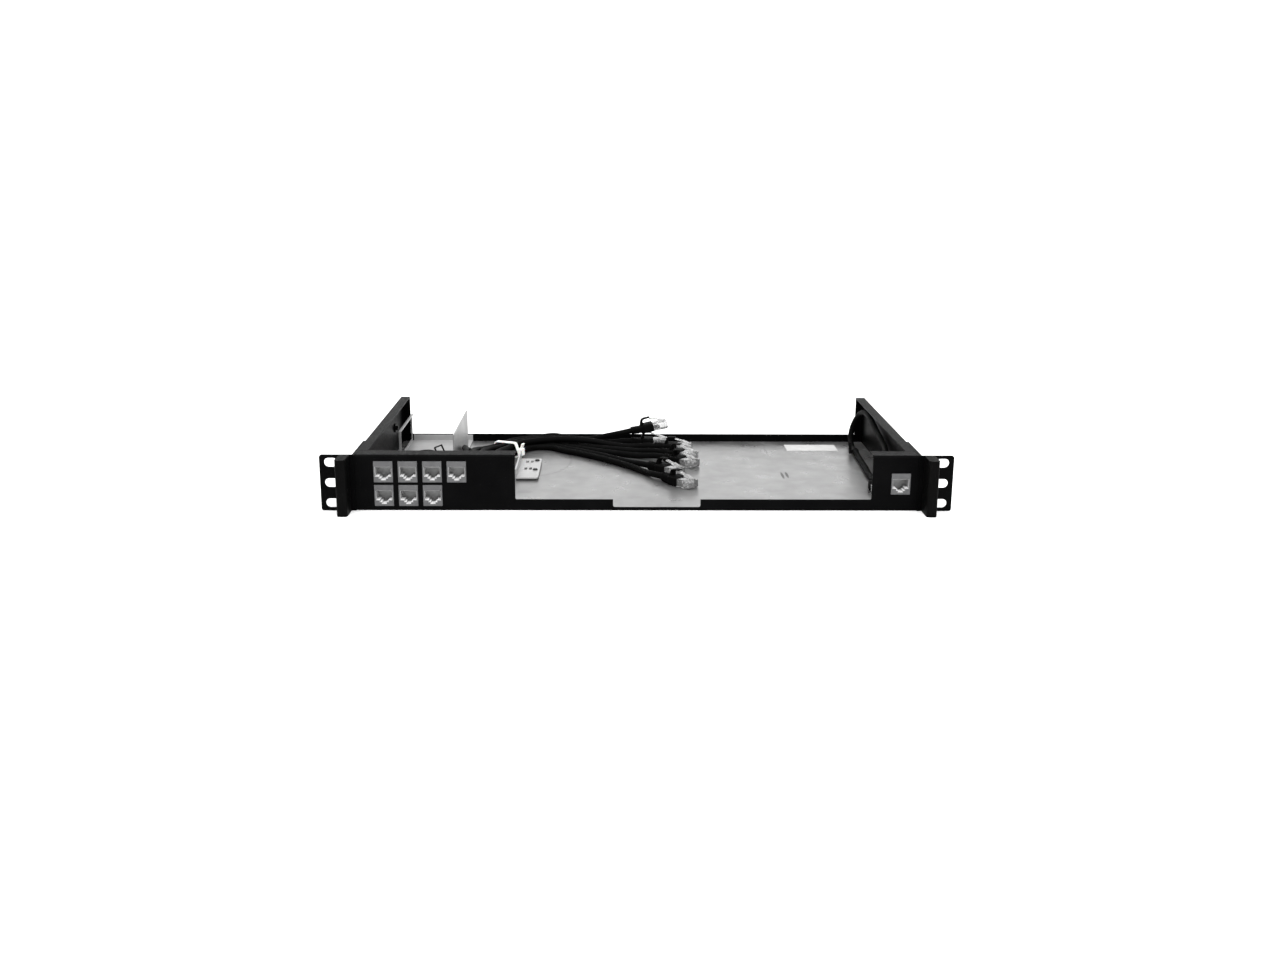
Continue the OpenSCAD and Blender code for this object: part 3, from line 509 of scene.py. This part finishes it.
def in_bundle(offset, height):
    """A lane's points, offset to the left of the bundle's middle line."""
    turns = [math.radians(heading) for _, _, heading, _ in BUNDLE]
    return [(x - offset * math.sin(a), y + offset * math.cos(a), height + lift)
            for a, (x, y, _, lift) in zip(turns, BUNDLE)]


def arrival(plug, back):
    """The point behind a free plug's boot, in line with the plug."""
    tip, heading, pitch = plug
    h, p = math.radians(heading), math.radians(pitch)
    ahead = Vector((math.cos(h) * math.cos(p), math.sin(h) * math.cos(p), math.sin(p)))
    return tuple(Vector(tip) - (PLUG_ALL + back) * ahead)


def route(i):
    """Lead i's points, in metres."""
    x, z = COUPLERS[i]
    run = [(x, EXIT_Y, z), (x, EXIT_Y + STRAIGHT, z)]
    run += STARTS[i] + in_bundle(*LANES[i]) + ENDS[i] if i < len(STARTS) else CONSOLE_ROUTE
    run += [arrival(PLUGS[i], back) for back in (BEFORE_PLUG, STRAIGHT, SEAM)]
    return [Vector(p) * MM for p in run]


def along(run, i):
    """Direction at a point, weighted by the steps before and after it."""
    a = run[i] - run[i - 1] if i > 0 else run[1] - run[0]
    b = run[i + 1] - run[i] if i < len(run) - 1 else a
    return (a.normalized() * b.length + b.normalized() * a.length).normalized()


def smooth(run, steps):
    """The smooth curve through a route's points."""
    made = []
    for i in range(len(run) - 1):
        d = (run[i + 1] - run[i]).length
        m, n = along(run, i) * d, along(run, i + 1) * d
        for k in range(steps):
            t = k / steps
            made.append((2 * t**3 - 3 * t**2 + 1) * run[i] + (t**3 - 2 * t**2 + t) * m
                        + (3 * t**2 - 2 * t**3) * run[i + 1] + (t**3 - t**2) * n)
    return made + [run[-1]]


def circle(centre, radius, side, up, sides):
    """Points round a centre, in the plane of side and up."""
    return [centre + radius * (math.cos(a) * side + math.sin(a) * up)
            for a in (2 * math.pi * k / sides for k in range(sides))]


def tube(name, centres, radius, sides, material):
    """A round tube along the points, whose rings turn as little as they can."""
    bm = bmesh.new()
    rings = []
    side = along(centres, 0).cross(Z_AXIS).normalized()
    for i, c in enumerate(centres):
        t = along(centres, i)
        side = (side - side.dot(t) * t).normalized()
        rings.append(circle(c, radius, side, side.cross(t), sides))
    loft(bm, rings)
    return from_bmesh(name, bm, material, 60)


lead_paths = [smooth(route(i), STEPS) for i in range(len(LEADS))]
for lead_name, path in zip(LEADS, lead_paths):
    lead = tube(f"lead_{lead_name}_jacket", path, LEAD_D / 2, TUBE_SIDES, JACKET)
    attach(lead, "root")
    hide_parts("lead_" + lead_name)


# ---------------------------------------------------------------- plugs, boots and latches
# A plug's own frame: its tip at 0, its body towards -X, its latch on top, in millimetres.
PLUG_L, PLUG_W, PLUG_TOP, PLUG_BOTTOM = 21.5, 11.7, 2.7, -4
CONTACT_PITCH = 1.02
CONTACT_ROWS = [CONTACT_PITCH * (k - 3.5) for k in range(8)]
BLADE_END, BLADE_W = -6, 0.36
HINGE, LATCH_W = Vector((-2.7, 0, 3.5)), 6.2  # the latch's hinge, and the width of its root
WIRE_R, WIRE_SIDES = 0.42, 8


def plug_shell():
    """Clear body with rounded edges, contact grooves, a hollow rear and the crimp bar's pocket."""
    bm = bmesh.new()
    side_profile(bm, [(-PLUG_L, PLUG_BOTTOM), (-1, PLUG_BOTTOM), (0, PLUG_BOTTOM + 1),
                      (0, PLUG_TOP - 0.4), (-0.4, PLUG_TOP), (-PLUG_L, PLUG_TOP)], PLUG_W)
    shell = from_bmesh("plug_pattern", bm, CLEAR)
    bevel(shell, 0.0003)
    cut = bmesh.new()
    for y in CONTACT_ROWS:
        box_into(cut, (-6.5, y - 0.3, PLUG_BOTTOM - 1), (1, y + 0.3, PLUG_BOTTOM + 1.3))
    side_profile(cut, [(-PLUG_L - 1, -3.2), (-9, -3.2), (-7.2, -2.4), (-7.2, -0.4), (-9, 1.6),
                       (-PLUG_L - 1, 1.8)], PLUG_W - 2.4)
    box_into(cut, (-16.5, -4, PLUG_BOTTOM - 1), (-14.2, 4, PLUG_BOTTOM + 0.6))
    combine(shell, "DIFFERENCE", from_bmesh("plug_cutter", cut, CLEAR))
    nose = bmesh.new()
    side_profile(nose, [(-1.9, 0.5), (-0.25, 0.5), (-0.25, 3.0), (-0.6, 3.7), (-1.3, 3.9),
                        (-1.9, 3.9)], LATCH_W)
    root = from_bmesh("plug_nose", nose, CLEAR)
    bevel(root, 0.00018)
    combine(shell, "UNION", root)
    shade_smoothly(shell, 40)
    return shell


def plug_inside():
    """The jacket's flattened end in the hollow rear."""
    bm = bmesh.new()
    loft(bm, [rounded_ring(-21.4, 2.6, -3.1, 1.6, 2.3), rounded_ring(-16, 2.7, -3.1, 1.4, 2.2),
              rounded_ring(-12.8, 3.0, -3.0, 1.0, 2.0), rounded_ring(-12.4, 2.6, -2.6, 0.6, 1.6)])
    return from_bmesh("jacket_end_pattern", bm, JACKET)


def plug_wires():
    """Eight insulated wires that fan out from the jacket to the contacts."""
    bm = bmesh.new()
    row_z = -1.5  # height of the row that the wires end in
    for k, y in enumerate(CONTACT_ROWS):
        height = -0.7 if k % 2 else -1.7  # two layers where they leave the jacket
        line = [Vector(p) * MM for p in (
            (-12.5, y * 0.5, height), (-11, y * 0.7, (height - 1.4) / 2),
            (-9.4, y, row_z), (-7.4, y, row_z))]
        rings = []
        for i, c in enumerate(line):
            t = along(line, i)
            side = t.cross(Z_AXIS).normalized()
            rings.append(circle(c, WIRE_R * MM, side, side.cross(t), WIRE_SIDES))
        loft(bm, rings)
    return from_bmesh("wires_pattern", bm, WIRE, 60)


def plug_contacts():
    """Stamped blades with a rounded front, one in each groove."""
    bm = bmesh.new()
    z = PLUG_BOTTOM
    for y in CONTACT_ROWS:
        side_profile(bm, [(BLADE_END, z + 0.3), (-2.1, z + 0.3), (-1.75, z + 0.42),
                          (-1.6, z + 0.7), (-1.6, z + 1.25), (BLADE_END, z + 1.25)], BLADE_W, y)
    return from_bmesh("contacts_pattern", bm, GOLD)


def latch_strip():
    """Spring latch: round root, broad shoulders that lock in the socket, slim curved tail."""
    stations = [  # x and z from the hinge, at mid thickness; half width; thickness
        (0.35, -0.05, 3.1, 0.5), (0.1, 0.0, 3.1, 0.9), (-0.6, 0.25, 3.1, 0.95),
        (-2.4, 0.95, 3.1, 1.0), (-4.2, 1.6, 3.1, 1.05), (-5.3, 1.98, 3.08, 1.1),
        (-5.45, 2.02, 1.62, 1.05), (-7.2, 2.62, 1.6, 0.95), (-9.4, 3.3, 1.6, 0.9),
        (-11.2, 3.75, 1.65, 0.85), (-12.1, 3.88, 1.75, 0.8), (-12.6, 3.88, 1.5, 0.5)]
    bm = bmesh.new()
    rings = []
    for x, z, half, thick in stations:
        ring = rounded_ring(0, half, -thick / 2, thick / 2, 0.2, 3)
        rings.append([p + (HINGE + Vector((x, 0, z))) * MM for p in ring])
    loft(bm, rings)
    return from_bmesh("latch_pattern", bm, CLEAR, 50)


RIBS_FROM, RIB_STEP, RIBS = -24.5, 1.35, 6
BOOT_EDGE = 42  # degrees at which an edge of the boot stays sharp
SLEEVE_GAP = 0.05  # between the sleeve and the plug in it


def boot():
    """Moulded boot: sleeve over the plug, ribbed and tapering tail, hood over the latch."""
    stations = [  # x, half width, low z, high z, corner radius
        (-21.5, 5.65, -3.8, 2.6, 0.9), (-23.4, 5.65, -3.8, 2.6, 1.0),
        (-24.0, 5.25, -3.75, 2.6, 1.2)]
    for k in range(RIBS):
        x = RIBS_FROM - RIB_STEP * k
        share = (x - RIBS_FROM) / (-PLUG_ALL - RIBS_FROM)
        half, low, high = 5.2 + (3.75 - 5.2) * share, -3.72, 2.65 + (3.75 - 2.65) * share
        radius = 1.6 + 1.6 * share
        for dx, shrink in ((0, 0), (-0.5, 0), (-0.65, 0.45), (-1.15, 0.45)):
            stations.append((x + dx, half - shrink, low + shrink, high - shrink, radius))
    stations += [(-32.8, 3.75, -3.75, 3.75, 3.6), (-33.3, 3.6, -3.6, 3.6, 3.5),
                 (-33.5, 3.2, -3.2, 3.2, 3.15)]
    tail = bmesh.new()
    loft(tail, [rounded_ring(*station, 6) for station in stations])
    body = from_bmesh("boot_pattern", tail, BOOT, BOOT_EDGE)
    arch = bmesh.new()
    side_profile(arch, [(-25, 1.2), (-21.6, 1.2), (-21.6, 6.7), (-21.1, 7.5), (-20, 8.1),
                        (-14.6, 8.3), (-14.6, 9.2), (-20.4, 9.1), (-21.9, 8.6), (-23, 7.6),
                        (-23.7, 6.2), (-24.6, 3.4)], 5.4)
    hood = from_bmesh("hood_pattern", arch, BOOT)
    bevel(hood, 0.0003)
    combine(body, "UNION", hood)
    outside = bmesh.new()
    loft(outside, [rounded_ring(x, 6.65 - inset, -3.98 + inset, 3.5 - inset, 1.3, 6)
                   for x, inset in ((-22.6, 0.5), (-22.1, 0), (-13.7, 0), (-13.35, 0.12),
                                    (-13.2, 0.45))])
    combine(body, "UNION", from_bmesh("sleeve_pattern", outside, BOOT, BOOT_EDGE))
    inside = bmesh.new()
    half = PLUG_W / 2 + SLEEVE_GAP
    box_into(inside, (-PLUG_L, -half, PLUG_BOTTOM - 1), (-12, half, PLUG_TOP + SLEEVE_GAP))
    combine(body, "DIFFERENCE", from_bmesh("cavity_pattern", inside, BOOT))
    shade_smoothly(body, BOOT_EDGE)
    return body


patterns = {
    "shell": (plug_shell(), "plug_clear"), "jacket_end": (plug_inside(), "lead_black"),
    "wires": (plug_wires(), "plug_clear"), "contacts": (plug_contacts(), "contact_gold"),
    "boot": (boot(), "boot_black"), "latch": (latch_strip(), "plug_clear")}

for i, lead_name in enumerate(LEADS):
    place = transform_of(*PLUGS[i])
    parts = {}
    for kind, (pattern, slot) in patterns.items():
        body = "latch_" + lead_name if kind == "latch" else "root"
        parts[kind] = copy_at(f"free_{kind}_{lead_name}", pattern, place)
        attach(parts[kind], body)
    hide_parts("plug_" + lead_name)
    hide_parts("latch_" + lead_name)
    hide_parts("free_boots")
    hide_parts("plug_contacts")
    path = lead_paths[i]

# The seated plugs lie turned over, latch down, in the rear of the couplers
SEAT_Y = -90.9  # the tips of the seated plugs, in millimetres
PRESSED = -9  # degrees that a seated latch is bent by
turned = Matrix.Rotation(math.radians(-90), 4, "Z") @ Matrix.Rotation(math.radians(180), 4, "X")
pressed = (Matrix.Translation(HINGE * MM) @ Matrix.Rotation(math.radians(PRESSED), 4, "Y")
           @ Matrix.Translation(-HINGE * MM))
for i, lead_name in enumerate(LEADS):
    x, z = COUPLERS[i]
    place = Matrix.Translation(Vector((x, SEAT_Y, z)) * MM) @ turned
    for kind, (pattern, slot) in patterns.items():
        where = place @ pressed if kind == "latch" else place
        part = copy_at(f"seated_{kind}_{lead_name}", pattern, where)
        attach(part, "root")
        if kind == "shell":
            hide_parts("rear_plugs")
        if kind == "boot":
            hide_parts("rear_boots")
for pattern, _ in patterns.values():
    bpy.data.objects.remove(pattern)

# ---------------------------------------------------------------- tray
for node in ("front_panel", "side_wall_left", "side_wall_right", "rear_lip"):
    softened(node, BLACK, 0.00035)
for node in ("ear_left", "ear_right"):
    softened(node, BLACK, 0.0003)
for node in ("grip_left", "grip_right"):
    softened(node, GRIP, 0.0014)
softened("floor_plate", ZINC, 0.0002)
for node in ("psu_cradle", "divider_plate"):
    softened(node, ZINC_DULL, 0.0002)
softened("device_bracket", ZINC_BRIGHT, 0.0002)
softened("cable_clip", CLIP, 0.0003)
softened("floor_label", PAPER, 0)
softened("frame_rivets", SCREW, 0)
softened("cradle_screws", SCREW, 0)
softened("bracket_screws", SCREW_DARK, 0)
softened("ear_screws", SCREW_BLACK, 0)
softened("grip_screws", SCREW_BLACK, 0)
for name in LEADS:
    softened("coupler_" + name, SHELL, 0.00025)
softened("coupler_inserts", SOCKET, 0.00015)
softened("coupler_contacts", GOLD, 0)
softened("bundle_tie", NYLON, 0.00025)
softened("lead_tie", CLIP, 0.00015)
softened("wall_clip", CLIP, 0.0003)


# ---------------------------------------------------------------- floor, backdrop and light
def make_stage():
    """A pale floor that curves up into a backdrop."""
    front, depth, height, radius, half = -3.0, 2.4, 2.0, 0.8, 4.0
    sunk = 0.0001  # keeps it clear of the object's underside
    steps = 12
    line = [(front, 0.0), (depth - radius, 0.0)]
    for k in range(1, steps + 1):
        a = math.radians(90 * k / steps)
        line.append((depth - radius + radius * math.sin(a), radius - radius * math.cos(a)))
    line.append((depth, height))
    bm = bmesh.new()
    left = [bm.verts.new((-half, y, z - sunk)) for y, z in line]
    right = [bm.verts.new((half, y, z - sunk)) for y, z in line]
    for i in range(len(line) - 1):
        bm.faces.new((left[i], right[i], right[i + 1], left[i + 1]))
    n = Nodes("stage_paper")
    n.set(metallic=0.0)
    n.link(n.ramp(n.noise(3, 2), (0.93, 0.93, 0.93), (0.95, 0.95, 0.95)), "Base Color")
    n.link(n.ramp(n.noise(5, 2), 0.8, 0.9), "Roughness")
    stage = from_bmesh("stage", bm, n.material)


def area_light(name, place, target, size, power):
    data = bpy.data.lights.new(name, "AREA")
    data.shape, data.size, data.size_y, data.energy = "RECTANGLE", size[0], size[1], power
    light = bpy.data.objects.new(name, data)
    light.location = place
    light.rotation_mode = "QUATERNION"
    light.rotation_quaternion = (Vector(target) - Vector(place)).to_track_quat("-Z", "Y")
    bpy.context.scene.collection.objects.link(light)


make_stage()
area_light("key", (-0.4, -1.3, 1.6), (0, 0, 0), (1.6, 1.0), 34)
area_light("fill", (0.9, -1.2, 0.9), (0, 0, 0.02), (1.2, 1.0), 14)
area_light("top", (0, 0.3, 1.8), (0, 0, 0), (2.2, 1.2), 26)
world = bpy.data.worlds.new("world")
world.use_nodes = True
world.node_tree.nodes["Background"].inputs["Color"].default_value = (1, 1, 1, 1)
world.node_tree.nodes["Background"].inputs["Strength"].default_value = 0.9
bpy.context.scene.world = world
bpy.context.scene.view_settings.view_transform = "Standard"
